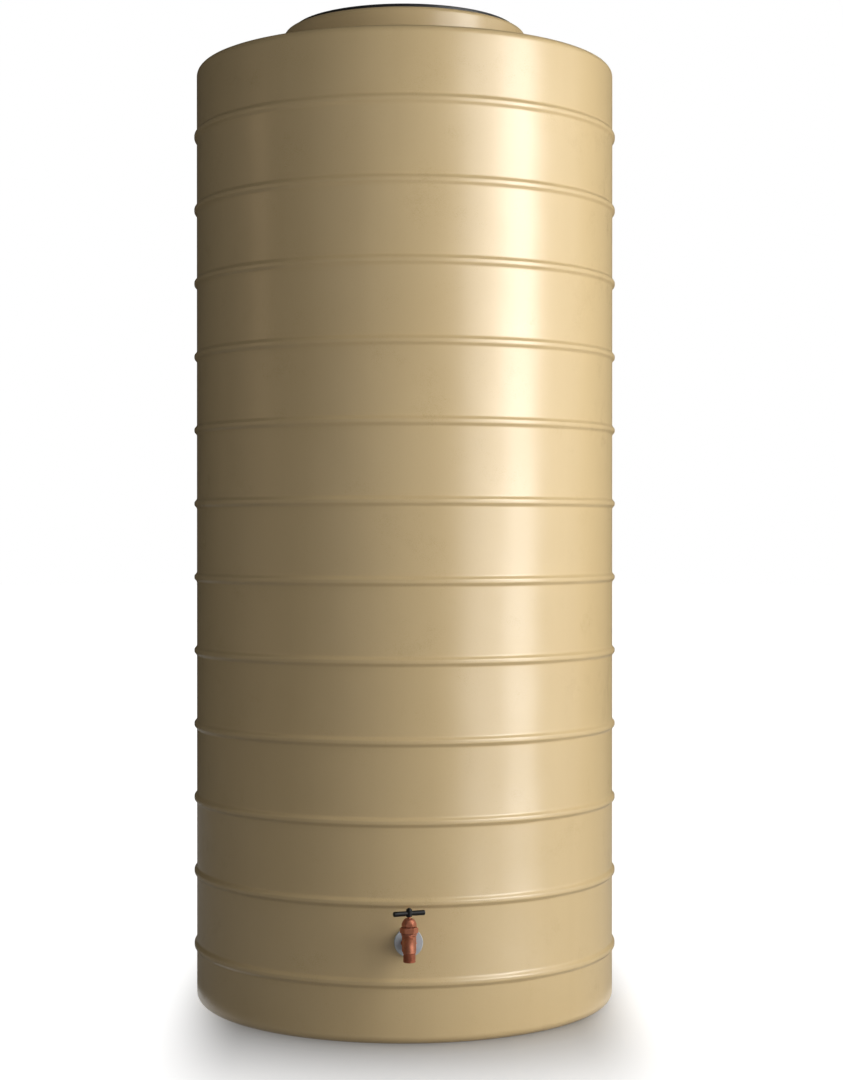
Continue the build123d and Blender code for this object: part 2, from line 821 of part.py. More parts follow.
with BuildPart() as overflow_outer_washer:
    with BuildSketch(Plane.XZ.offset(-flange_seat)):
        with Locations((0, overflow_height)):
            Circle(overflow_washer_radius)
            Circle(overflow_shank_radius + hole_gap / 2, mode=Mode.SUBTRACT)
    extrude(amount=washer_thickness + bow(overflow_washer_radius))
    with Locations((0, 0, overflow_height)):
        Cylinder(tank_radius + seat_gap, 4 * overflow_washer_radius, mode=Mode.SUBTRACT)
overflow_outer_washer.part.label = "overflow_outer_washer"
export_step(overflow_outer_washer.part, "parts/overflow_outer_washer.step")

with BuildPart() as overflow_inner_washer:
    with BuildSketch(Plane.XZ.offset(-overflow_nut_face)):
        with Locations((0, overflow_height)):
            Circle(overflow_washer_radius)
            Circle(overflow_shank_radius + hole_gap / 2, mode=Mode.SUBTRACT)
    extrude(amount=-washer_thickness - bow(overflow_washer_radius))
    with Locations((0, 0, overflow_height)):
        Cylinder(inner_radius - seat_gap, 4 * overflow_washer_radius, mode=Mode.INTERSECT)
overflow_inner_washer.part.label = "overflow_inner_washer"
export_step(overflow_inner_washer.part, "parts/overflow_inner_washer.step")

with BuildPart() as overflow_backnut:
    with BuildSketch(Plane.XZ.offset(-overflow_nut_face)):
        with Locations((0, overflow_height)):
            RegularPolygon(overflow_nut_flats / 2, 6, major_radius=False)
            Circle(overflow_shank_radius + thread_fit, mode=Mode.SUBTRACT)
    extrude(amount=overflow_nut_height)
    with BuildSketch(back_plane):
        with BuildLine():
            Polyline(*nut_tips(overflow_nut_flats, overflow_nut_face - overflow_nut_height), close=True)
        make_face()
    revolve(axis=overflow_axis, mode=Mode.SUBTRACT)
overflow_backnut.part.label = "overflow_backnut"
export_step(overflow_backnut.part, "parts/overflow_backnut.step")

with BuildPart() as overflow_screen:
    with BuildSketch(Plane.XZ.offset(-screen_seat - screen_gap)):
        with Locations((0, overflow_height)):
            Circle(screen_radius)
            Circle(screen_hole_radius, mode=Mode.SUBTRACT)
            for ring in (1, 2):
                with PolarLocations(ring * screen_ring_pitch, 6 * ring):
                    Circle(screen_hole_radius, mode=Mode.SUBTRACT)
    extrude(amount=-screen_thickness)
overflow_screen.part.label = "overflow_screen"
export_step(overflow_screen.part, "parts/overflow_screen.step")
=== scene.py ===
import json
import math

import bmesh
import bpy
from mathutils import Matrix, Vector

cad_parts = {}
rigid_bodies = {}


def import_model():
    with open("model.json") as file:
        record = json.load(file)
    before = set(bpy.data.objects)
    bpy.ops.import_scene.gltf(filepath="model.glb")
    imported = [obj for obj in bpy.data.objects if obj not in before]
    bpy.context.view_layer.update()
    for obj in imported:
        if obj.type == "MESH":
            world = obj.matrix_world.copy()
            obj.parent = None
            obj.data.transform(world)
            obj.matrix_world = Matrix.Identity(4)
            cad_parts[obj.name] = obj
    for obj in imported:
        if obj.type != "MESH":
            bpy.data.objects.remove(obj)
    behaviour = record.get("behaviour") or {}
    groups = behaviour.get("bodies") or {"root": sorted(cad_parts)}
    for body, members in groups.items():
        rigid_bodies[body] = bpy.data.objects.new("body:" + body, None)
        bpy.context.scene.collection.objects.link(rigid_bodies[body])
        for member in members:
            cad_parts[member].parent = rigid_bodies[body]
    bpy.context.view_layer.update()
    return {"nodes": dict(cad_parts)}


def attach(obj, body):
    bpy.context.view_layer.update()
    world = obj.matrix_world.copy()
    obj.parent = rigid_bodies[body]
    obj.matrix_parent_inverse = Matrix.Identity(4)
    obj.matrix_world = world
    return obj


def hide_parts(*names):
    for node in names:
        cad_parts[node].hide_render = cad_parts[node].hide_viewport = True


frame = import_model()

# Slimline water tank: rotomoulded shell with ring beads, screw-in lid, brass bib tap, overflow
scene = bpy.context.scene
nodes = frame["nodes"]
mm = 0.001
tiny = 1e-6
turn = 2 * math.pi
print("frame loaded:", len(nodes), "nodes")


# Mesh helpers

def roundOff(corners, step=12):
    # corners are (radius, height, rounding); each rounded one becomes an arc, a point every step degrees
    path = []
    for i, corner in enumerate(corners):
        here = Vector(corner[:2])
        rounding = corner[2] if len(corner) > 2 else 0
        if rounding == 0 or i in (0, len(corners) - 1):
            path.append(tuple(here))
            continue
        back = (Vector(corners[i - 1][:2]) - here).normalized()
        ahead = (Vector(corners[i + 1][:2]) - here).normalized()
        opening = back.angle(ahead)
        bend = math.pi - opening
        reach = rounding / math.tan(opening / 2)
        middle = here + (back + ahead).normalized() * rounding / math.sin(opening / 2)
        first = here + back * reach - middle
        side = 1 if back.x * ahead.y - back.y * ahead.x < 0 else -1
        count = max(2, math.ceil(math.degrees(bend) / step))
        for k in range(count + 1):
            angle = side * bend * k / count
            c, s = math.cos(angle), math.sin(angle)
            path.append((middle.x + first.x * c - first.y * s, middle.y + first.x * s + first.y * c))
    return path


def evenly(radius, start, end, count):
    return [(radius, start + (end - start) * k / count) for k in range(count + 1)]


def latheMesh(outline, around, closed=False, warp=None):
    # turns an outline of (radius, height) about +Z; warp gives each point its own radius
    points, rings = [], []
    for radius, height in outline:
        if radius < tiny:
            rings.append([len(points)])
            points.append(Vector((0, 0, height)))
            continue
        rings.append(range(len(points), len(points) + around))
        for k in range(around):
            angle = turn * k / around
            r = warp(radius, height, angle) if warp else radius
            points.append(Vector((r * math.cos(angle), r * math.sin(angle), height)))
    faces = []
    pairs = list(zip(rings, rings[1:]))
    if closed:
        pairs.append((rings[-1], rings[0]))
    for low, high in pairs:
        for k in range(around):
            n = (k + 1) % around
            corners = (low[k % len(low)], low[n % len(low)], high[n % len(high)], high[k % len(high)])
            faces.append(tuple(dict.fromkeys(corners)))
    return points, faces


def tubeFaces(rows, around):
    # faces between rows of points, closed at both ends
    faces = []
    for row in range(rows - 1):
        for k in range(around):
            n = (k + 1) % around
            faces.append((row * around + k, row * around + n, (row + 1) * around + n, (row + 1) * around + k))
    faces.append(tuple(reversed(range(around))))
    faces.append(tuple(range((rows - 1) * around, rows * around)))
    return faces


def hexagon(flats):
    # warp that cuts a turned outline back to a hexagon with a corner on +X
    def cut(radius, height, angle):
        across = angle % (math.pi / 3) - math.pi / 6
        return min(radius, flats / 2 / math.cos(across))
    return cut


def threaded(crest, depth, pitch, bottom, top, fade):
    # warp that cuts a right-handed thread into the part of an outline that lies at the crest radius
    def cut(radius, height, angle):
        if abs(radius - crest) > tiny or height < bottom or height > top:
            return radius
        swing = math.cos(turn * ((height - bottom) / pitch - angle / turn))
        ramp = min(1, (height - bottom) / fade, (top - height) / fade)
        return radius - depth * (0.5 - 0.5 * swing) * ramp
    return cut


def placed(meshData, place):
    points, faces = meshData
    return [place @ p for p in points], faces


def backward(height):
    # +Z turned to point along +Y at a height on the tank
    return Matrix.Translation((0, 0, height)) @ Matrix.Rotation(-math.pi / 2, 4, "X")


def forward(height):
    # +Z turned to point along -Y
    return Matrix.Translation((0, 0, height)) @ Matrix.Rotation(math.pi / 2, 4, "X")


def makePiece(name, points, faces, place=Matrix.Identity(4), crease=32):
    mesh = bpy.data.meshes.new(name)
    mesh.from_pydata([place @ p for p in points], [], faces)
    mesh.validate()
    piece = bpy.data.objects.new(name, mesh)
    scene.collection.objects.link(piece)
    shade(piece, crease)
    return piece


def shade(piece, crease):
    mesh = piece.data
    mesh.shade_smooth()
    mesh.set_sharp_from_angle(angle=math.radians(crease))
    mesh.update()


def facingOut(piece):
    mesh = bmesh.new()
    mesh.from_mesh(piece.data)
    bmesh.ops.recalc_face_normals(mesh, faces=mesh.faces)
    mesh.to_mesh(piece.data)
    mesh.free()
    return piece


def joined(name, meshes):
    # several (points, faces) as one mesh
    points, faces = [], []
    for morePoints, moreFaces in meshes:
        faces += [tuple(i + len(points) for i in face) for face in moreFaces]
        points += morePoints
    return facingOut(makePiece(name, points, faces))


def rod(name, radius, start, end, place, around=64):
    return makePiece(name, *latheMesh([(0, start), (radius, start), (radius, end), (0, end)], around), place)


def applyModifiers(piece):
    bpy.context.view_layer.update()
    solid = piece.evaluated_get(bpy.context.evaluated_depsgraph_get())
    mesh = bpy.data.meshes.new_from_object(solid)
    old = piece.data
    piece.modifiers.clear()
    piece.data = mesh
    mesh.name = piece.name
    bpy.data.meshes.remove(old)


def combine(piece, tool, operation):
    # the tool is used up
    step = piece.modifiers.new(operation, "BOOLEAN")
    step.operation = operation
    step.solver = "EXACT"
    step.object = tool
    applyModifiers(piece)
    mesh = tool.data
    bpy.data.objects.remove(tool)
    bpy.data.meshes.remove(mesh)


def blendShapes(piece, voxel, rounds):
    # overlapping shapes become one casting with soft creases
    remesh = piece.modifiers.new("blend", "REMESH")
    remesh.mode = "VOXEL"
    remesh.voxel_size = voxel
    soften = piece.modifiers.new("soften", "SMOOTH")
    soften.factor = 0.5
    soften.iterations = rounds
    applyModifiers(piece)


def finishPiece(piece, material, slot, body, *replaced):
    piece.data.materials.clear()
    piece.data.materials.append(material)
    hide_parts(*replaced)
    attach(piece, body)
    return piece


# Materials

class Shader:
    def __init__(self, name):
        self.material = bpy.data.materials.new(name)
        self.material.use_nodes = True
        self.tree = self.material.node_tree
        self.tree.nodes.clear()
        self.surface = self.add("ShaderNodeBsdfPrincipled")
        output = self.add("ShaderNodeOutputMaterial")
        self.link(self.surface.outputs[0], output.inputs["Surface"])
        self.place = self.add("ShaderNodeTexCoord").outputs["Object"]

    def add(self, kind, **values):
        node = self.tree.nodes.new(kind)
        for key, value in values.items():
            if key in node.inputs:
                node.inputs[key].default_value = value
            else:
                setattr(node, key, value)
        return node

    def link(self, source, target):
        self.tree.links.new(source, target)

    def feed(self, values, sockets):
        for socket, value in zip(sockets, values):
            if isinstance(value, (int, float)):
                socket.default_value = value
            elif isinstance(value, tuple):
                socket.default_value = (*value, 1)
            else:
                self.link(value, socket)

    def stretched(self, scale):
        node = self.add("ShaderNodeMapping")
        node.inputs["Scale"].default_value = scale
        self.link(self.place, node.inputs["Vector"])
        return node.outputs[0]

    def noise(self, scale, detail, rough, vector=None):
        node = self.add("ShaderNodeTexNoise", Scale=scale, Detail=detail, Roughness=rough)
        self.link(vector or self.place, node.inputs["Vector"])
        return node.outputs["Fac"]

    def spread(self, source, low, high, fromLow=0.3, fromHigh=0.7, smooth=False):
        node = self.add("ShaderNodeMapRange", interpolation_type="SMOOTHSTEP" if smooth else "LINEAR")
        for key, value in {"From Min": fromLow, "From Max": fromHigh, "To Min": low, "To Max": high}.items():
            node.inputs[key].default_value = value
        self.link(source, node.inputs["Value"])
        return node.outputs[0]

    def math(self, operation, a, b):
        node = self.add("ShaderNodeMath", operation=operation)
        self.feed((a, b), node.inputs)
        return node.outputs[0]

    def mix(self, factor, a, b):
        # the colour sockets of this node are its inputs 6 and 7
        node = self.add("ShaderNodeMix", data_type="RGBA")
        self.feed((factor, a, b), (node.inputs[0], node.inputs[6], node.inputs[7]))
        return node.outputs[2]

    def bump(self, *layers):
        # layers are (height, strength, distance)
        normal = None
        for height, strength, distance in layers:
            node = self.add("ShaderNodeBump", Strength=strength, Distance=distance)
            self.link(height, node.inputs["Height"])
            if normal:
                self.link(normal, node.inputs["Normal"])
            normal = node.outputs[0]
        self.link(normal, self.surface.inputs["Normal"])

    def colour(self, source):
        self.link(source, self.surface.inputs["Base Color"])

    def rough(self, source):
        self.link(source, self.surface.inputs["Roughness"])

    def setting(self, **values):
        for key, value in values.items():
            self.surface.inputs[key.replace("_", " ")].default_value = value


# In the looks a noise is (scale, detail, roughness) and a relief is (strength, depth in metres)
shellLook = {
    "colour": (0.658, 0.490, 0.252), "paler": (0.692, 0.525, 0.280), "clouds": (2.2, 4, 0.55),
    "streak": (0.60, 0.44, 0.218), "streaks": (1.0, 3, 0.5), "streakStretch": (26, 26, 0.7), "streakShare": 0.18,
    "speck": (0.52, 0.37, 0.177), "grain": (900, 2, 0.6), "speckShare": 0.16, "speckEnds": (0.35, 0.75),
    "rough": (0.27, 0.33), "patches": (11, 4, 0.6), "patchRough": (-0.022, 0.03), "index": 1.54, "gloss": 0.8,
    "reliefs": [((5.5, 2, 0.4), (0.6, 0.005)), ((60, 3, 0.5), (0.06, 0.001)), ((520, 3, 0.6), (0.05, 0.0004))],
}
blackLook = {
    "scuffs": (35, 5, 0.65), "scuffShare": 0.7, "lighter": 1.9, "dust": 0.003,
    "smoother": 0.05, "rougher": 0.07, "grain": (3, 0.6), "strength": 0.25,
}
brassLook = {
    "colour": (0.50, 0.19, 0.105), "deeper": (0.42, 0.145, 0.08), "clouds": (55, 5, 0.6), "rough": (0.48, 0.60),
    "spot": (0.21, 0.08, 0.05), "spots": (260, 4, 0.7), "spotEnds": (0.45, 0.75),
    "sand": (900, 3, 0.6), "sandDepth": 0.00025, "dents": (200, 2, 0.5), "dentRelief": (0.12, 0.0004), "metal": 0.7,
}
steelLook = {"lines": (60, 4, 0.6), "stretch": (1, 1, 40), "rougher": 0.15, "relief": (0.15, 0.0001)}
flangeLook = {
    "colour": (0.44, 0.49, 0.54), "paler": (0.52, 0.56, 0.60), "clouds": (70, 4, 0.6), "rough": (0.3, 0.42),
    "grain": (800, 2, 0.5), "relief": (0.2, 0.0002),
}
rubberLook = {
    "colour": (0.012, 0.012, 0.012), "paler": (0.03, 0.029, 0.028), "clouds": (90, 4, 0.6), "rough": (0.6, 0.8),
    "grain": (700, 2, 0.5), "relief": (0.3, 0.0003),
}
fibreLook = {
    "colour": (0.11, 0.028, 0.018), "paler": (0.18, 0.06, 0.035), "clouds": (1200, 4, 0.7), "rough": (0.75, 0.9),
    "grain": (1200, 4, 0.7), "relief": (0.4, 0.0002),
}


def mouldedShell(name, look):
    s = Shader(name)
    grain = s.noise(*look["grain"])
    streaks = s.noise(*look["streaks"], s.stretched(look["streakStretch"]))
    base = s.mix(s.spread(s.noise(*look["clouds"]), 0, 1), look["colour"], look["paler"])
    base = s.mix(s.spread(streaks, 0, look["streakShare"]), base, look["streak"])
    s.colour(s.mix(s.spread(grain, 0, look["speckShare"], *look["speckEnds"]), base, look["speck"]))
    patches = s.spread(s.noise(*look["patches"]), *look["patchRough"])
    s.rough(s.math("ADD", patches, s.spread(grain, *look["rough"])))
    s.bump(*[(s.noise(*noise), *relief) for noise, relief in look["reliefs"]])
    s.setting(IOR=look["index"], Specular_IOR_Level=look["gloss"])
    return s.material


def blackPlastic(name, colour, roughness, grainSize, depth, gloss=0.5):
    look = blackLook
    s = Shader(name)
    scuffs = s.noise(*look["scuffs"])
    lighter = tuple(c * look["lighter"] + look["dust"] for c in colour)
    s.colour(s.mix(s.spread(scuffs, 0, look["scuffShare"]), colour, lighter))
    s.rough(s.spread(scuffs, roughness - look["smoother"], roughness + look["rougher"]))
    s.bump((s.noise(grainSize, *look["grain"]), look["strength"], depth))
    s.setting(Specular_IOR_Level=gloss)
    return s.material


def castBrass(name, sand, tarnish):
    look = brassLook
    s = Shader(name)
    clouds = s.noise(*look["clouds"])
    base = s.mix(s.spread(clouds, 0, 1), look["colour"], look["deeper"])
    s.colour(s.mix(s.spread(s.noise(*look["spots"]), 0, tarnish, *look["spotEnds"]), base, look["spot"]))
    s.rough(s.spread(clouds, *look["rough"]))
    s.bump((s.noise(*look["sand"]), sand, look["sandDepth"]), (s.noise(*look["dents"]), *look["dentRelief"]))
    s.setting(Metallic=look["metal"])
    return s.material


def brushedSteel(name, colour, paler, roughness):
    look = steelLook
    s = Shader(name)
    lines = s.noise(*look["lines"], s.stretched(look["stretch"]))
    s.colour(s.mix(s.spread(lines, 0, 1), colour, paler))
    s.rough(s.spread(lines, roughness, roughness + look["rougher"]))
    s.bump((lines, *look["relief"]))
    s.setting(Metallic=1.0)
    return s.material


def mottled(name, look):
    s = Shader(name)
    clouds = s.noise(*look["clouds"])
    s.colour(s.mix(s.spread(clouds, 0, 1), look["colour"], look["paler"]))
    s.rough(s.spread(clouds, *look["rough"]))
    s.bump((s.noise(*look["grain"]), *look["relief"]))
    return s.material


shellPlastic = mouldedShell("mouldedShell", shellLook)
lidPlastic = blackPlastic("lidPlastic", (0.019, 0.019, 0.020), 0.42, 450, 0.0006)
handlePlastic = blackPlastic("handlePlastic", (0.005, 0.005, 0.005), 0.3, 700, 0.0002, 0.32)
overflowPlastic = blackPlastic("overflowPlastic", (0.016, 0.016, 0.017), 0.36, 600, 0.0003)
flangePlastic = mottled("palePlastic", flangeLook)
roughBrass = castBrass("roughBrass", 0.35, 0.5)
turnedBrass = castBrass("turnedBrass", 0.08, 0.25)
sealRubber = mottled("sealRubber", rubberLook)
fibre = mottled("fibreSheet", fibreLook)
stainless = brushedSteel("stainless", (0.50, 0.49, 0.47), (0.64, 0.63, 0.61), 0.25)
blackenedSteel = brushedSteel("blackenedSteel", (0.035, 0.034, 0.033), (0.06, 0.058, 0.055), 0.42)
print("materials ready")


# Tank shell

tank = {
    "radius": 390 * mm, "wall": 5 * mm, "around": 252,
    "shoulder": 1734 * mm, "domeRise": 24 * mm, "baseEdge": 16 * mm, "shoulderEdge": 14 * mm,
    "beads": 12, "firstBead": 105.3 * mm, "lastBeadDrop": 124.8 * mm, "beadWidth": 17 * mm, "beadCrown": 6 * mm,
    "beadRise": 4.8 * mm, "beadRounding": 6.5 * mm, "crownShare": 0.7,
    "neckRadius": 227 * mm, "neckHeight": 50 * mm, "neckFoot": 8 * mm, "neckEdge": 9 * mm,
    "throatRadius": 197 * mm, "throatDepth": 42 * mm, "throatEdge": 4 * mm, "throatFoot": 1.5 * mm,
    "connectorHole": 17.2 * mm, "connectorHeight": 176.5 * mm,
    "overflowHole": 30.4 * mm, "overflowHeight": 1664 * mm,
}
thread = {
    "starts": 3, "lead": 60 * mm, "rise": 4.2 * mm, "crest": 5 * mm, "root": 8 * mm, "steps": 26,
    "taper": 8, "endRise": 0.15, "sunk": 1.2 * mm,
    "neckAngle": 95, "neckDrop": 30 * mm, "lidAngle": 40, "lidLag": 15, "gap": 0.3 * mm, "tipGap": 0.5 * mm,
}
neckFoot = tank["shoulder"] + tank["domeRise"]
neckTop = neckFoot + tank["neckHeight"]


def beadCorners(height):
    radius, rise, soft = tank["radius"], tank["beadRise"], tank["beadRounding"]
    half, crown = tank["beadWidth"] / 2, tank["beadCrown"] / 2
    return [
        (radius, height - half, soft), (radius + rise, height - crown, soft * tank["crownShare"]),
        (radius + rise, height + crown, soft * tank["crownShare"]), (radius, height + half, soft),
    ]


def shellOutline():
    t = tank
    radius, wall, inside = t["radius"], t["wall"], t["radius"] - t["wall"]
    slope = math.atan2(t["domeRise"], radius - t["neckRadius"])
    drop = wall * (1 / math.cos(slope) - math.tan(slope))
    outer = [(0, 0), (radius, 0, t["baseEdge"])]
    pitch = (t["shoulder"] - t["lastBeadDrop"] - t["firstBead"]) / (t["beads"] - 1)
    for bead in range(t["beads"]):
        outer += beadCorners(t["firstBead"] + bead * pitch)
    outer += [
        (radius, t["shoulder"], t["shoulderEdge"]), (t["neckRadius"], neckFoot, t["neckFoot"]),
        (t["neckRadius"], neckTop, t["neckEdge"]), (t["throatRadius"], neckTop, t["throatEdge"]),
        (t["throatRadius"], neckTop - t["throatDepth"], t["throatFoot"]),
    ]
    inner = [
        (t["throatRadius"] + wall, neckTop - t["throatDepth"], t["throatFoot"]),
        (t["throatRadius"] + wall, neckTop - wall), (t["neckRadius"] - wall, neckTop - wall, t["neckEdge"] - wall),
        (t["neckRadius"] - wall, neckFoot - drop, t["neckFoot"] + wall),
        (inside, t["shoulder"] - drop, t["shoulderEdge"] - wall), (inside, wall, t["baseEdge"] - wall), (0, wall),
    ]
    return roundOff(outer + inner, step=11)


def lugs(radius, rise, height, startAngle, sweepAngle, sunk):
    # ramped lugs of the quick thread, three round the ring, with tapered ends
    t = thread
    meshes = []
    for lug in range(t["starts"]):
        points = []
        for k in range(t["steps"] + 1):
            along = k / t["steps"]
            taper = min(1, along * t["taper"], (1 - along) * t["taper"]) * (1 - t["endRise"]) + t["endRise"]
            angle = math.radians(startAngle + sweepAngle * along) + turn * lug / t["starts"]
            level = height + t["lead"] * math.radians(sweepAngle) * along / turn
            section = [
                (radius - sunk, -t["root"] / 2), (radius, -t["root"] / 2),
                (radius + rise * taper, -t["crest"] / 2), (radius + rise * taper, t["crest"] / 2),
                (radius, t["root"] / 2), (radius - sunk, t["root"] / 2),
            ]
            for r, up in section:
                points.append(Vector((r * math.cos(angle), r * math.sin(angle), level + up)))
        meshes.append((points, tubeFaces(t["steps"] + 1, len(section))))
    return meshes


shell = makePiece("tankShell", *latheMesh(shellOutline(), tank["around"]))
neckLugHeight = neckTop - thread["neckDrop"]
combine(shell, joined("neckLugs", lugs(tank["throatRadius"], -thread["rise"], neckLugHeight, 0,
                                       thread["neckAngle"], -thread["sunk"])), "UNION")
cutStart, cutEnd = tank["radius"] / 2, tank["radius"] * 1.2
combine(shell, rod("hole", tank["connectorHole"], cutStart, cutEnd, forward(tank["connectorHeight"])), "DIFFERENCE")
combine(shell, rod("hole", tank["overflowHole"], cutStart, cutEnd, backward(tank["overflowHeight"])), "DIFFERENCE")
shade(shell, crease=38)
finishPiece(shell, shellPlastic, "tank_plastic", "tank", "tank_shell")
print("tank shell:", len(shell.data.polygons), "faces")


# Lid

lid = {
    "radius": 210 * mm, "wall": 5 * mm, "edge": 2.4 * mm, "around": 216,
    "lipWidth": 3.5 * mm, "lipGap": 0.3 * mm, "lipEdge": 0.6 * mm, "seal": 3 * mm,
    "skirtWall": 4 * mm, "skirtDepth": 40 * mm, "skirtEdge": 1 * mm,
    "domeRadius": 178 * mm, "domeRise": 16 * mm, "domeSteps": 18, "domeMargin": 4 * mm,
    "ribs": 8, "ribInner": 55 * mm, "ribOuter": 165 * mm, "ribWidth": 7 * mm, "ribHeight": 6 * mm, "ribRamp": 9 * mm,
    "ribAlong": 24, "ribAcross": 8, "ribFlare": 0.25, "ribFullness": 5,
}
lidUnder = neckTop + lid["seal"]
lidTop = lidUnder + lid["wall"]
skirtRadius = tank["throatRadius"] - thread["rise"] - thread["tipGap"]
ballRadius = (lid["domeRadius"] ** 2 + lid["domeRise"] ** 2) / (2 * lid["domeRise"])
ballHeight = lidTop + lid["domeRise"] - ballRadius


def domeHeight(radius, sink=0):
    return ballHeight + math.sqrt((ballRadius - sink) ** 2 - radius ** 2)


def lidOutline():
    wall = lid["wall"]
    ceiling = math.sqrt(lid["domeRadius"] ** 2 - 2 * wall * lid["domeRise"])
    under = [ceiling * k / lid["domeSteps"] for k in range(lid["domeSteps"] + 1)]
    over = [lid["domeRadius"] * (1 - k / lid["domeSteps"]) for k in range(lid["domeSteps"] + 1)]
    skirtInside, bottom = skirtRadius - lid["skirtWall"], neckTop - lid["skirtDepth"]
    lipInside, lipBottom = lid["radius"] - lid["lipWidth"], neckTop + lid["lipGap"]
    rim = roundOff([
        (skirtInside, lidUnder), (skirtInside, bottom, lid["skirtEdge"]), (skirtRadius, bottom, lid["skirtEdge"]),
        (skirtRadius, lidUnder), (lipInside, lidUnder), (lipInside, lipBottom, lid["lipEdge"]),
        (lid["radius"], lipBottom, lid["lipEdge"]), (lid["radius"], lidTop, lid["edge"]),
        (lid["domeRadius"] + lid["domeMargin"], lidTop),
    ], step=15)
    return [(r, domeHeight(r, wall)) for r in under] + rim + [(r, domeHeight(r)) for r in over]


def ribMeshes():
    along, across, flare, sunk = lid["ribAlong"], lid["ribAcross"], lid["ribFlare"], lid["wall"] / 4
    meshes = []
    for rib in range(lid["ribs"]):
        spin = Matrix.Rotation(turn * rib / lid["ribs"], 4, "Z")
        points, faces = [], []
        for i in range(along + 1):
            radius = lid["ribInner"] + (lid["ribOuter"] - lid["ribInner"]) * (i / along)
            end = min(radius - lid["ribInner"], lid["ribOuter"] - radius) / lid["ribRamp"]
            lift = lid["ribHeight"] * math.sin(min(1, end) * math.pi / 2)
            foot = domeHeight(radius) - sunk
            for j in range(across + 1):
                side = -1 + 2 * j / across
                y = lid["ribWidth"] / 2 * side * (1 + flare - flare * (1 - side * side))
                up = (sunk + lift) * (1 - abs(side) ** lid["ribFullness"])
                points.append(spin @ Vector((radius, y, foot + up)))
        row = across + 1
        for i in range(along):
            for j in range(across):
                a = i * row + j
                faces.append((a, a + row, a + row + 1, a + 1))
            faces.append((i * row, i * row + across, (i + 1) * row + across, (i + 1) * row))
        faces.append(tuple(range(row)))
        faces.append(tuple(reversed(range(along * row, along * row + row))))
        meshes.append((points, faces))
    return meshes


lidPiece = makePiece("lidCover", *latheMesh(lidOutline(), lid["around"]))
lidLugGap = (thread["root"] + thread["crest"]) / 2 + thread["gap"]
lidLugHeight = neckLugHeight - lidLugGap + thread["lead"] * thread["lidLag"] / 360
lidLugRise = tank["throatRadius"] - thread["tipGap"] - skirtRadius
combine(lidPiece, joined("lidLugs", lugs(skirtRadius, lidLugRise, lidLugHeight, thread["lidLag"],
                                         thread["lidAngle"], thread["sunk"])), "UNION")
combine(lidPiece, joined("gripRibs", ribMeshes()), "UNION")
shade(lidPiece, crease=38)
finishPiece(lidPiece, lidPlastic, "lid_plastic", "lid", "lid")
print("lid:", len(lidPiece.data.polygons), "faces")


# Bib tap: places are reach from the tank's axis towards -Y, and height above the inlet

tap = {
    "height": 176.5 * mm, "flangeSeat": 393 * mm, "flangeFace": 398 * mm,
    "spindleReach": 439 * mm, "nozzleReach": 465 * mm, "sunk": 2 * mm, "cutPast": 1 * mm,
    "barrel": 10.2 * mm, "inletHex": 24 * mm, "inletHexLength": 6 * mm, "inletThread": 21 * mm,
    "hexTip": 0.985, "hexChamfer": 1.4 * mm, "hexSlope": 1.7,
    "chamber": 12 * mm, "chamberBottom": -9.5 * mm, "chamberTop": 24 * mm, "chamberEdge": 5 * mm,
    "boss": 13.6 * mm, "bossHeight": 4.5 * mm, "bossFoot": 2 * mm, "bossEdge": 1 * mm,
    "spout": 9.8 * mm, "spoutBore": 6.8 * mm, "spoutBoreStart": 8.1 * mm, "elbow": 14 * mm, "elbowSteps": 9,
    "collarBelow": 1.2 * mm, "collarAbove": 1.8 * mm, "collarProud": 0.5 * mm, "collarEdge": 1 * mm,
    "waterway": 5 * mm, "waterwayStop": 4 * mm, "voxel": 0.55 * mm, "smoothing": 7,
}
halfInch = {"radius": 10.48 * mm, "depth": 1.1 * mm, "pitch": 1.814 * mm}
nozzle = {
    "top": -3 * mm, "bottom": -19 * mm, "face": 1.3 * mm, "bevel": 0.8 * mm, "bevelHeight": 0.3 * mm,
    "threadHead": 0.6 * mm, "rows": 120, "topFace": 1.2 * mm, "fade": 1.2 * mm,
}
inlet = {
    "face": 1.2 * mm, "threadFoot": 0.6 * mm, "threadStop": 1.5 * mm, "rows": 130, "fade": 1.5 * mm,
    "groove": 1.1 * mm, "grooveStart": 0.8 * mm, "sunk": 3 * mm,
}
cavity = {
    "bottom": -6.5 * mm, "well": 7 * mm, "seatUnder": 4.5 * mm, "seatBore": 6.2 * mm, "seatTop": 9.5 * mm,
    "seatRim": 7.6 * mm, "moatBottom": 7.5 * mm, "moat": 10 * mm, "mouthBottom": 14 * mm, "mouth": 10.53 * mm,
    "top": 26 * mm,
}
tapSpindle = Matrix.Translation((0, -tap["spindleReach"], tap["height"]))
tapNozzle = Matrix.Translation((0, -tap["nozzleReach"], tap["height"]))
elbowHeight = nozzle["top"] + tap["elbow"]


def elbowMesh(radius, start, bottom, around=48):
    # tube from the chamber forward, round the elbow and down, closed at both ends
    bend, steps = tap["elbow"], tap["elbowSteps"]
    turning = tap["nozzleReach"] - bend
    path = [(start, elbowHeight, 0), (turning, elbowHeight, 0)]
    for k in range(1, steps + 1):
        a = math.radians(90 / steps * k)
        path.append((turning + bend * math.sin(a), elbowHeight - bend * (1 - math.cos(a)), a))
    path.append((tap["nozzleReach"], bottom, math.pi / 2))
    points = []
    for reach, up, tilt in path:
        ahead = Vector((0, -math.cos(tilt), -math.sin(tilt)))
        above = Vector((0, -math.sin(tilt), math.cos(tilt)))
        side = ahead.cross(above)
        for k in range(around):
            a = turn * k / around
            points.append(Vector((0, -reach, tap["height"] + up))
                          + side * radius * math.cos(a) + above * radius * math.sin(a))
    return points, tubeFaces(len(path), around)


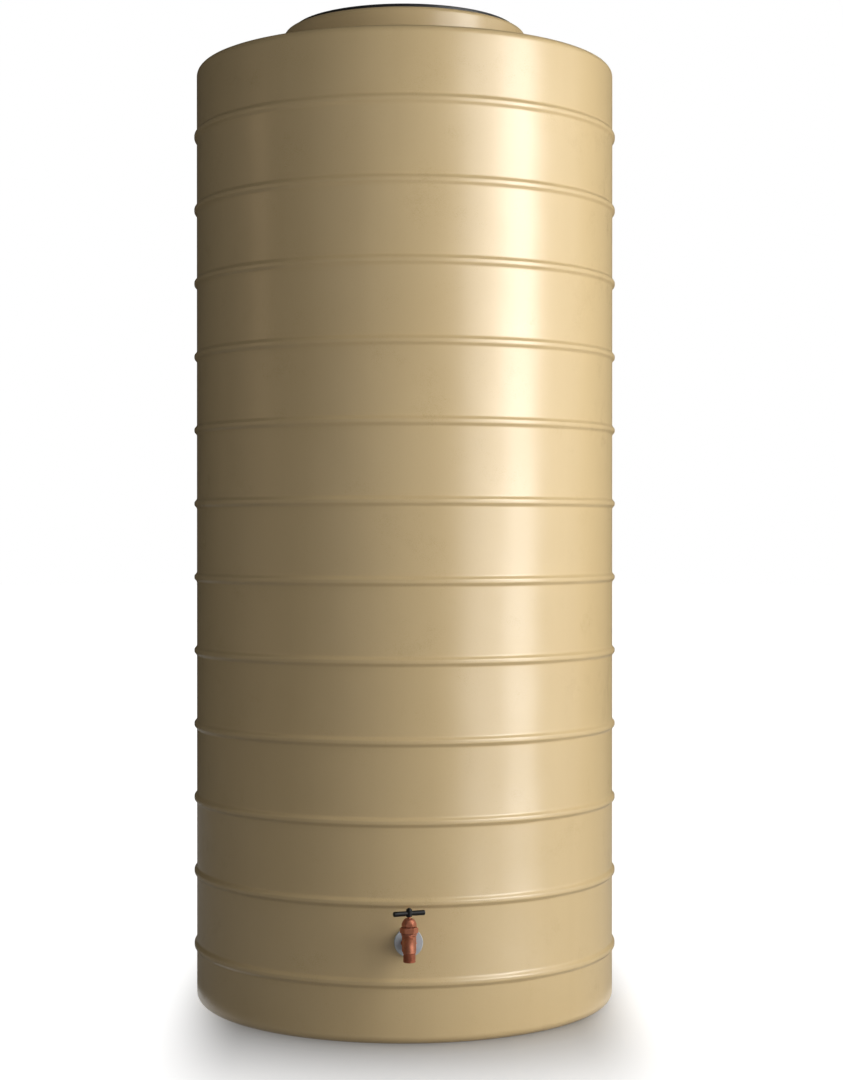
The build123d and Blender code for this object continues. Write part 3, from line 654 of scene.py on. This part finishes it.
def tapCasting():
    t = tap
    barrelStart, bossBottom = t["flangeFace"] + t["sunk"], t["chamberTop"] - t["bossHeight"]
    barrel = latheMesh([(0, barrelStart), (t["barrel"], barrelStart), (t["barrel"], t["spindleReach"]),
                        (0, t["spindleReach"])], around=64)
    chamber = latheMesh(roundOff([
        (0, t["chamberBottom"]), (t["chamber"], t["chamberBottom"], t["chamberEdge"]),
        (t["chamber"], bossBottom, t["bossFoot"]),
        (t["boss"], t["chamberTop"] - t["bossHeight"] / 2, t["bossEdge"]), (t["boss"], t["chamberTop"]),
        (0, t["chamberTop"]),
    ]), around=72)
    elbow = elbowMesh(t["spout"], t["spindleReach"], nozzle["top"] - t["sunk"])
    proud = halfInch["radius"] + t["collarProud"]
    low, high = nozzle["top"] - t["collarBelow"], nozzle["top"] + t["collarAbove"]
    collar = latheMesh(roundOff([(0, low), (proud, low, t["collarProud"]), (proud, high, t["collarEdge"]), (0, high)]),
                       around=64)
    body = joined("tapCasting", [placed(barrel, forward(t["height"])), placed(chamber, tapSpindle), elbow,
                                 placed(collar, tapNozzle)])
    blendShapes(body, t["voxel"], t["smoothing"])
    return body


def nozzleMesh():
    n, crest = nozzle, halfInch["radius"]
    foot, head = n["bottom"] + n["bevel"], n["top"] - n["threadHead"]
    outline = [(0, n["bottom"]), (crest - n["face"], n["bottom"])]
    outline += [(crest - n["bevel"], n["bottom"] + n["bevelHeight"])] + evenly(crest, foot, head, n["rows"])
    outline += [(crest - n["topFace"], n["top"]), (0, n["top"])]
    cut = threaded(crest, halfInch["depth"], halfInch["pitch"], foot, head, n["fade"])
    return latheMesh(outline, around=96, warp=cut)


def inletMesh():
    i, crest, face = inlet, halfInch["radius"], tap["flangeFace"]
    start = face - tap["inletThread"]
    foot, head = start + i["threadFoot"], face - i["threadStop"]
    outline = [(0, start), (crest - i["face"], start)] + evenly(crest, foot, head, i["rows"])
    outline += [(crest - i["groove"], face - i["grooveStart"]), (crest - i["groove"], face + i["sunk"]),
                (0, face + i["sunk"])]
    cut = threaded(crest, halfInch["depth"], halfInch["pitch"], foot, head, i["fade"])
    return latheMesh(outline, around=96, warp=cut)


def inletHexMesh():
    t = tap
    tip, chamfer = t["inletHex"] / math.sqrt(3) * t["hexTip"], t["hexChamfer"]
    start, end = t["flangeFace"], t["flangeFace"] + t["inletHexLength"]
    outline = [(0, start), (tip, start), (tip, end - chamfer), (tip - chamfer * t["hexSlope"], end), (0, end)]
    return latheMesh(outline, around=120, warp=hexagon(t["inletHex"]))


def cavityOutline():
    # valve chamber with the seat in its floor, then the mouth that takes the bonnet
    c = cavity
    return [
        (0, c["bottom"]), (c["well"], c["bottom"]), (c["well"], c["seatUnder"]), (c["seatBore"], c["seatUnder"]),
        (c["seatBore"], c["seatTop"]), (c["seatRim"], c["seatTop"]), (c["seatRim"], c["moatBottom"]),
        (c["moat"], c["moatBottom"]), (c["moat"], c["mouthBottom"]), (c["mouth"], c["mouthBottom"]),
        (c["mouth"], c["top"]), (0, c["top"]),
    ]


tapBody = tapCasting()
combine(tapBody, makePiece("nozzle", *nozzleMesh(), tapNozzle), "UNION")
combine(tapBody, makePiece("inletHex", *inletHexMesh(), forward(tap["height"])), "UNION")
combine(tapBody, makePiece("inlet", *inletMesh(), forward(tap["height"])), "UNION")
combine(tapBody, rod("waterway", tap["waterway"], tap["flangeFace"] - tap["inletThread"] - tap["cutPast"],
                     tap["spindleReach"] - tap["waterwayStop"], forward(tap["height"]), around=48), "DIFFERENCE")
combine(tapBody, makePiece("cavity", *latheMesh(cavityOutline(), around=72), tapSpindle), "DIFFERENCE")
spoutBore = elbowMesh(tap["spoutBore"], tap["spindleReach"] + tap["spoutBoreStart"],
                      nozzle["bottom"] - tap["cutPast"], around=44)
combine(tapBody, facingOut(makePiece("spoutBore", *spoutBore)), "DIFFERENCE")
shade(tapBody, crease=40)
finishPiece(tapBody, roughBrass, "tap_brass", "tank", "tap_body")
print("tap body:", len(tapBody.data.polygons), "faces")


# Bonnet and gland nut

bonnet = {
    "seat": 25 * mm, "flats": 27 * mm, "tip": 0.99, "hexHeight": 9.5 * mm, "chamfer": 1.4 * mm, "slope": 1.6,
    "skirt": 10 * mm, "skirtBore": 8.2 * mm, "skirtFoot": 0.6 * mm, "skirtDepth": 0.8 * mm,
    "neck": 7.3 * mm, "neckTop": 45 * mm, "neckDepth": 0.7 * mm, "neckPitch": 1.4 * mm,
    "edge": 0.4 * mm, "rows": 60, "fade": 1 * mm,
    "packing": 5.6 * mm, "packingFloor": 38.7 * mm, "stem": 3.35 * mm, "stemFloor": 37.2 * mm,
    "bore": 5.5 * mm, "boreBottom": 22 * mm,
}
gland = {
    "flats": 22 * mm, "tip": 0.99, "bottom": 36 * mm, "top": 49 * mm, "foot": 1 * mm, "footHeight": 0.6 * mm,
    "crown": 5.8 * mm, "shoulder": 9 * mm, "crownSteps": 8, "bulge": 0.9, "mouth": 0.8 * mm, "mouthDepth": 0.5 * mm,
    "bore": 7.35 * mm, "roof": 3.7 * mm, "nose": 5.5 * mm, "packingTop": 43 * mm, "stem": 3.35 * mm,
}
hexTop = bonnet["seat"] + bonnet["hexHeight"]
skirtBottom = bonnet["seat"] - bonnet["skirt"]
skirtThread = (skirtBottom + bonnet["skirtFoot"], bonnet["seat"] - bonnet["edge"])
neckThread = (hexTop + bonnet["edge"], bonnet["neckTop"] - bonnet["edge"])


def bonnetOutline():
    b, crest = bonnet, halfInch["radius"]
    tip = b["flats"] / math.sqrt(3) * b["tip"]
    outside = [(b["skirtBore"], skirtBottom), (crest - b["skirtFoot"], skirtBottom)]
    outside += evenly(crest, *skirtThread, b["rows"])
    outside += [
        (crest, b["seat"]), (tip, b["seat"]), (tip, hexTop - b["chamfer"]),
        (tip - b["slope"] * b["chamfer"], hexTop), (b["neck"] + b["edge"], hexTop),
    ]
    outside += evenly(b["neck"], *neckThread, b["rows"])
    inside = [
        (b["neck"] - b["edge"], b["neckTop"]), (b["packing"], b["neckTop"]), (b["packing"], b["packingFloor"]),
        (b["stem"], b["packingFloor"]), (b["stem"], b["stemFloor"]), (b["bore"], b["stemFloor"]),
        (b["bore"], b["boreBottom"]), (b["skirtBore"], b["boreBottom"]),
    ]
    return outside + inside


def bonnetWarp():
    b, crest = bonnet, halfInch["radius"]
    lower = threaded(crest, b["skirtDepth"], halfInch["pitch"], *skirtThread, b["fade"])
    upper = threaded(b["neck"], b["neckDepth"], b["neckPitch"], *neckThread, b["fade"])
    flat = hexagon(b["flats"])

    def cut(radius, height, angle):
        if radius > crest + 0.5 * mm:
            return flat(radius, height, angle)
        return lower(upper(radius, height, angle), height, angle)
    return cut


def glandOutline():
    g = gland
    tip, steps = g["flats"] / math.sqrt(3) * g["tip"], g["crownSteps"]
    shoulder, roof = g["top"] - g["shoulder"], g["top"] - g["roof"]
    crown = [(tip + (g["crown"] - tip) * k / steps,
              shoulder + g["shoulder"] * math.sin(k / steps * math.pi / 2) ** g["bulge"]) for k in range(1, steps + 1)]
    return [
        (g["bore"], g["bottom"]), (tip - g["foot"], g["bottom"]), (tip, g["bottom"] + g["footHeight"]),
        (tip, shoulder), *crown,
        (g["stem"] + g["mouth"], g["top"]), (g["stem"], g["top"] - g["mouthDepth"]), (g["stem"], g["packingTop"]),
        (g["nose"], g["packingTop"]), (g["nose"], roof), (g["bore"], roof),
    ]


bonnetMesh = latheMesh(bonnetOutline(), around=144, closed=True, warp=bonnetWarp())
finishPiece(makePiece("tapBonnet", *bonnetMesh, tapSpindle, crease=25), turnedBrass, "tap_brass", "tank", "tap_bonnet")
glandMesh = latheMesh(glandOutline(), around=144, closed=True, warp=hexagon(gland["flats"]))
finishPiece(makePiece("glandNut", *glandMesh, tapSpindle, crease=25), turnedBrass, "tap_brass", "tank", "gland_nut")


# T-handle

handle = {
    "hub": 5.2 * mm, "hubBottom": 52 * mm, "hubHeight": 12.5 * mm, "hubFoot": 0.8 * mm, "hubEdge": 0.9 * mm,
    "bar": 4.5 * mm, "length": 56 * mm, "barDrop": 7 * mm, "barSteps": 24, "waist": 0.35 * mm, "angle": 18,
    "end": 1.8 * mm, "endSteps": 6, "cutPast": 1 * mm,
    "square": 4.8 * mm, "squareTop": 62.6 * mm, "screwHole": 1.65 * mm, "voxel": 0.35 * mm, "smoothing": 6,
}


def barOutline():
    # domed ends and a slight waist at the hub
    h = handle
    half, steps, ends = h["length"] / 2, h["barSteps"], h["endSteps"]
    outline = [(0, -half)]
    for k in range(1, ends + 1):
        a = math.radians(90 / ends * k)
        outline.append((h["bar"] * (0.5 + 0.5 * math.sin(a)), -half + h["end"] * (1 - math.cos(a))))
    for k in range(1, steps):
        s = -1 + 2 * k / steps
        outline.append((h["bar"] - h["waist"] * math.cos(s * math.pi / 2) ** 2, s * (half - h["end"])))
    return outline + [(r, -z) for r, z in reversed(outline[:ends + 1])]


def boxMesh(width, bottom, top):
    half = width / 2
    corners = [(-half, -half), (half, -half), (half, half), (-half, half)]
    points = [Vector((x, y, z)) for z in (bottom, top) for x, y in corners]
    faces = [(3, 2, 1, 0), (4, 5, 6, 7)] + [(i, (i + 1) % 4, (i + 1) % 4 + 4, i + 4) for i in range(4)]
    return points, faces


def handlePiece():
    h = handle
    bottom, top, past = h["hubBottom"], h["hubBottom"] + h["hubHeight"], h["cutPast"]
    lying = Matrix.Translation((0, 0, top - h["barDrop"])) @ Matrix.Rotation(math.pi / 2, 4, "Y")
    spin = tapSpindle @ Matrix.Rotation(math.radians(h["angle"]), 4, "Z")
    bar = latheMesh(barOutline(), around=48)
    hub = latheMesh(roundOff([(0, bottom), (h["hub"], bottom, h["hubFoot"]), (h["hub"], top, h["hubEdge"]), (0, top)],
                             step=20), around=64)
    piece = joined("tHandle", [placed(placed(bar, lying), spin), placed(hub, spin)])
    blendShapes(piece, h["voxel"], h["smoothing"])
    combine(piece, makePiece("socket", *boxMesh(h["square"], bottom - past, h["squareTop"]), spin), "DIFFERENCE")
    combine(piece, rod("screwHole", h["screwHole"], h["squareTop"] - past, top + past, spin, around=32), "DIFFERENCE")
    return piece


tHandle = handlePiece()
shade(tHandle, crease=50)
finishPiece(tHandle, handlePlastic, "handle_plastic", "spindle", "t_handle")
print("tap ready")


# Connector and overflow, both flanged

pipeThread = {"depth": 0.9 * mm, "pitch": 2.309 * mm, "fade": 1.5 * mm, "rows": 90, "lead": 1 * mm, "gap": 1 * mm}
flange = {
    "edge": 1.3 * mm, "foot": 0.5 * mm, "radius": 24.5 * mm, "shank": 16.6 * mm, "tip": 369.28 * mm, "relief": 5 * mm,
    "bore": 10.53 * mm, "boreEdge": 0.6 * mm,
}
overflow = {
    "flange": 42 * mm, "foot": 0.6 * mm, "shank": 29.8 * mm, "tip": 366.92 * mm, "relief": 7 * mm,
    "throat": 21.5 * mm, "throatEdge": 0.4 * mm, "screenSeat": 398 * mm, "screen": 23.5 * mm, "pipeStop": 399.4 * mm,
    "socket": 25.2 * mm, "socketWall": 4.3 * mm, "socketFoot": 1.6 * mm, "socketEnd": 421.4 * mm,
    "socketEdge": 1 * mm, "mouthEdge": 0.8 * mm,
}


def shankMesh(bore, piece, flangeCorners, around):
    # threaded shank up to its relief under the flange, then the flange's own corners
    p, shank, tip = pipeThread, piece["shank"], piece["tip"]
    reliefStart = tap["flangeSeat"] - piece["relief"]
    foot, head = tip + p["lead"], reliefStart - p["gap"]
    outline = [(bore, tip), (shank - p["lead"], tip)] + evenly(shank, foot, head, p["rows"])
    corners = [(shank, reliefStart), (shank, tap["flangeSeat"])] + flangeCorners
    outline += roundOff(corners + [(bore, tip)], step=18)[:-1]
    cut = threaded(shank, p["depth"], p["pitch"], foot, head, p["fade"])
    return latheMesh(outline, around, closed=True, warp=cut)


def connectorMesh():
    f, seat, face = flange, tap["flangeSeat"], tap["flangeFace"]
    return shankMesh(f["bore"], f, [
        (f["radius"], seat, f["foot"]), (f["radius"], face, f["edge"]), (f["bore"] + f["boreEdge"], face),
        (f["bore"], face - f["boreEdge"]),
    ], around=144)


def overflowMesh():
    o, seat, face = overflow, tap["flangeSeat"], overflow["screenSeat"]
    outer = o["socket"] + o["socketWall"]
    return shankMesh(o["throat"], o, [
        (o["flange"], seat, o["foot"]), (o["flange"], face, flange["edge"]), (outer, face, o["socketFoot"]),
        (outer, o["socketEnd"], o["socketEdge"]), (o["socket"], o["socketEnd"], o["mouthEdge"]),
        (o["socket"], o["pipeStop"]), (o["screen"], o["pipeStop"]), (o["screen"], face),
        (o["throat"], face, o["throatEdge"]),
    ], around=168)


connector = makePiece("connectorFlange", *connectorMesh(), forward(tap["height"]), crease=30)
finishPiece(connector, flangePlastic, "connector_plastic", "tank", "tank_connector")
bush = makePiece("overflowSocket", *overflowMesh(), backward(tank["overflowHeight"]), crease=30)
finishPiece(bush, overflowPlastic, "overflow_plastic", "tank", "overflow_bush")

# Pieces whose solid is already right keep it and get their material
finishes = {
    sealRubber: ["lid_seal", "connector_outer_washer", "connector_inner_washer", "overflow_outer_washer",
                 "overflow_inner_washer", "jumper_washer"],
    flangePlastic: ["connector_backnut"],
    overflowPlastic: ["overflow_backnut"],
    turnedBrass: ["spindle", "jumper", "jumper_nut"],
    fibre: ["bonnet_gasket", "gland_packing"],
    blackenedSteel: ["handle_screw"],
    stainless: ["overflow_screen"],
}
for material, names in finishes.items():
    for name in names:
        for place in nodes[name].material_slots:
            place.material = material
print("fittings ready")


# Floor, light and camera

studio = {
    "camera": (-0.0637, -3.856, 0.8733), "focal": 2042.3, "pictureHeight": 1080, "sensor": 24, "clip": (0.05, 100),
    "heading": 1.4167, "pitch": -0.233,
    "key": {"azimuth": 58, "distance": 2.3, "height": 1.32, "width": 0.8, "tall": 3.0, "power": 40},
    "wing": {"azimuth": 36, "distance": 2.35, "height": 1.32, "width": 0.7, "tall": 3.0, "power": 17},
    "side": {"azimuth": 88, "distance": 2.6, "height": 1.3, "width": 1.2, "tall": 2.6, "power": 8},
    "back": {"azimuth": 182, "distance": 3.2, "height": 1.15, "width": 0.9, "tall": 2.4, "power": 44},
    "front": {"azimuth": -6, "distance": 5.0, "height": 1.0, "width": 8.0, "tall": 3.2, "power": 39},
    "gleam": {"azimuth": -80, "distance": 3.0, "height": 0.95, "width": 2.5, "tall": 2.7, "power": 27,
              "tint": (1, 0.74, 0.45)},
    "sheen": {"azimuth": 56, "distance": 2.5, "height": 1.72, "width": 1.3, "tall": 1.1, "power": 15},
    "aimHeight": 0.9, "aimTilt": 0.3, "fill": 0.125,
    "floorRings": (0, 1, 3, 30), "floorColour": 0.7, "dullness": 0.9,
    # painted shadow on the floor: depth, reach, falloff, width and shift of the patch where its glow is held back
    "paintedShadowDepth": 0.865, "paintedShadowReach": (0.39, 0.85), "paintedShadowCurve": 0.865,
    "paintedShadowSides": (0.29, 0.48), "paintedShadowShift": -0.006,
    # card and curtain only show in reflections: their greys are painted darker reflections
    "cardRadius": 0.42, "cardHeight": 0.003, "cardColour": 0.45,
    "curtainRadius": 3.0, "curtainHeight": 4.5, "curtainColour": 0.03, "clothGloss": 0.1,
}


def seenDirectly(tree):
    # 1 for rays from the camera, in a reflection or through glass
    path = tree.nodes.new("ShaderNodeLightPath")
    total = path.outputs["Is Camera Ray"]
    for name in ("Is Glossy Ray", "Is Transmission Ray"):
        larger = tree.nodes.new("ShaderNodeMath")
        larger.operation = "MAXIMUM"
        tree.links.new(total, larger.inputs[0])
        tree.links.new(path.outputs[name], larger.inputs[1])
        total = larger.outputs[0]
    return total


def makeWorld():
    world = bpy.data.worlds.new("studioWorld")
    scene.world = world
    world.use_nodes = True
    tree = world.node_tree
    back = tree.nodes["Background"]
    back.inputs["Color"].default_value = (1, 1, 1, 1)
    strength = tree.nodes.new("ShaderNodeMapRange")
    strength.inputs["To Min"].default_value = studio["fill"]
    strength.inputs["To Max"].default_value = 1
    tree.links.new(seenDirectly(tree), strength.inputs["Value"])
    tree.links.new(strength.outputs[0], back.inputs["Strength"])


def makeFloor():
    # glows pale where it is seen, with a painted soft shadow near the base: the glow is held back in a patch in front
    # of the tank, and the real shadow in its grey shows through there
    floor = makePiece("studioFloor", *latheMesh([(ring, 0) for ring in studio["floorRings"]], around=96))
    floor.data.flip_normals()
    s = Shader("paleFloor")
    grey = studio["floorColour"]
    s.setting(Base_Color=(grey, grey, grey, 1), Roughness=studio["dullness"], Specular_IOR_Level=0,
              Emission_Color=(1, 1, 1, 1))
    away = s.add("ShaderNodeVectorMath", operation="LENGTH")
    s.link(s.place, away.inputs[0])
    across = s.add("ShaderNodeSeparateXYZ")
    s.link(s.place, across.inputs[0])
    # painted shadow: the glow is held back by distance from the axis and by sideways place, a soft patch in front of
    # the tank
    sideways = s.math("ABSOLUTE", s.math("ADD", across.outputs["X"], studio["paintedShadowShift"]), 0)
    near = s.math("POWER", s.spread(away.outputs["Value"], 0, 1, *studio["paintedShadowReach"]), studio["paintedShadowCurve"])
    deep = s.spread(sideways, studio["paintedShadowDepth"], 0, *studio["paintedShadowSides"], smooth=True)
    shadow = s.math("MULTIPLY", s.math("SUBTRACT", 1, near), deep)
    s.link(s.math("MULTIPLY", s.math("SUBTRACT", 1, shadow), seenDirectly(s.tree)),
           s.surface.inputs["Emission Strength"])
    floor.data.materials.append(s.material)
    return floor


def makePaintedReflections():
    # grey card on the floor, dark curtain round the set and over it; they only show in reflections, as painted darker
    # reflections in place of the white floor and surroundings, and cast no shadow and give no bounce light
    far, low, high = studio["curtainRadius"], studio["cardHeight"], studio["curtainHeight"]
    outlines = {
        "paintedReflectionCard": (studio["cardColour"], [(studio["cardRadius"], low), (far, low)]),
        "paintedReflectionCurtain": (studio["curtainColour"], [(far, low), (far, high), (0, high)]),
    }
    for name, (grey, outline) in outlines.items():
        cloth = makePiece(name, *latheMesh(outline, around=96))
        s = Shader(name)
        s.setting(Base_Color=(grey, grey, grey, 1), Roughness=studio["dullness"],
                  Specular_IOR_Level=studio["clothGloss"])
        cloth.data.materials.append(s.material)
        cloth.visible_camera = False
        cloth.visible_diffuse = False
        cloth.visible_shadow = False


def softbox(name, azimuth, distance, height, width, tall, power, tint=(1, 1, 1)):
    light = bpy.data.lights.new(name, "AREA")
    light.shape = "RECTANGLE"
    light.size, light.size_y = width, tall
    light.energy, light.color = power, tint
    lamp = bpy.data.objects.new(name, light)
    scene.collection.objects.link(lamp)
    a = math.radians(azimuth)
    lamp.location = (distance * math.sin(a), -distance * math.cos(a), height)
    aim = -Vector(lamp.location)
    aim.z = (studio["aimHeight"] - height) * studio["aimTilt"]
    lamp.rotation_euler = aim.to_track_quat("-Z", "Y").to_euler()
    return lamp


def makeCamera():
    lens = bpy.data.cameras.new("studioCamera")
    lens.sensor_fit = "VERTICAL"
    lens.sensor_height = studio["sensor"]
    lens.lens = studio["focal"] / studio["pictureHeight"] * studio["sensor"]
    lens.clip_start, lens.clip_end = studio["clip"]
    camera = bpy.data.objects.new("studioCamera", lens)
    scene.collection.objects.link(camera)
    camera.location = studio["camera"]
    heading, pitch = math.radians(studio["heading"]), math.radians(studio["pitch"])
    look = Vector((math.sin(heading) * math.cos(pitch), math.cos(heading) * math.cos(pitch), math.sin(pitch)))
    camera.rotation_euler = look.to_track_quat("-Z", "Y").to_euler()
    scene.camera = camera


makeWorld()
floor = makeFloor()
makePaintedReflections()
# the lamps near the tank leave the floor alone, which keeps its shadow soft
tankOnly = bpy.data.collections.new("tankOnly")
tankOnly.objects.link(floor)
tankOnly.collection_objects[0].light_linking.link_state = "EXCLUDE"
for name in ("key", "wing", "side", "back"):
    softbox(name + "Softbox", **studio[name]).light_linking.receiver_collection = tankOnly
softbox("frontPanel", **studio["front"])
softbox("leftGleam", **studio["gleam"]).visible_diffuse = False
softbox("rightSheen", **studio["sheen"]).visible_diffuse = False
makeCamera()
scene.view_settings.view_transform = "Standard"
print("studio ready")
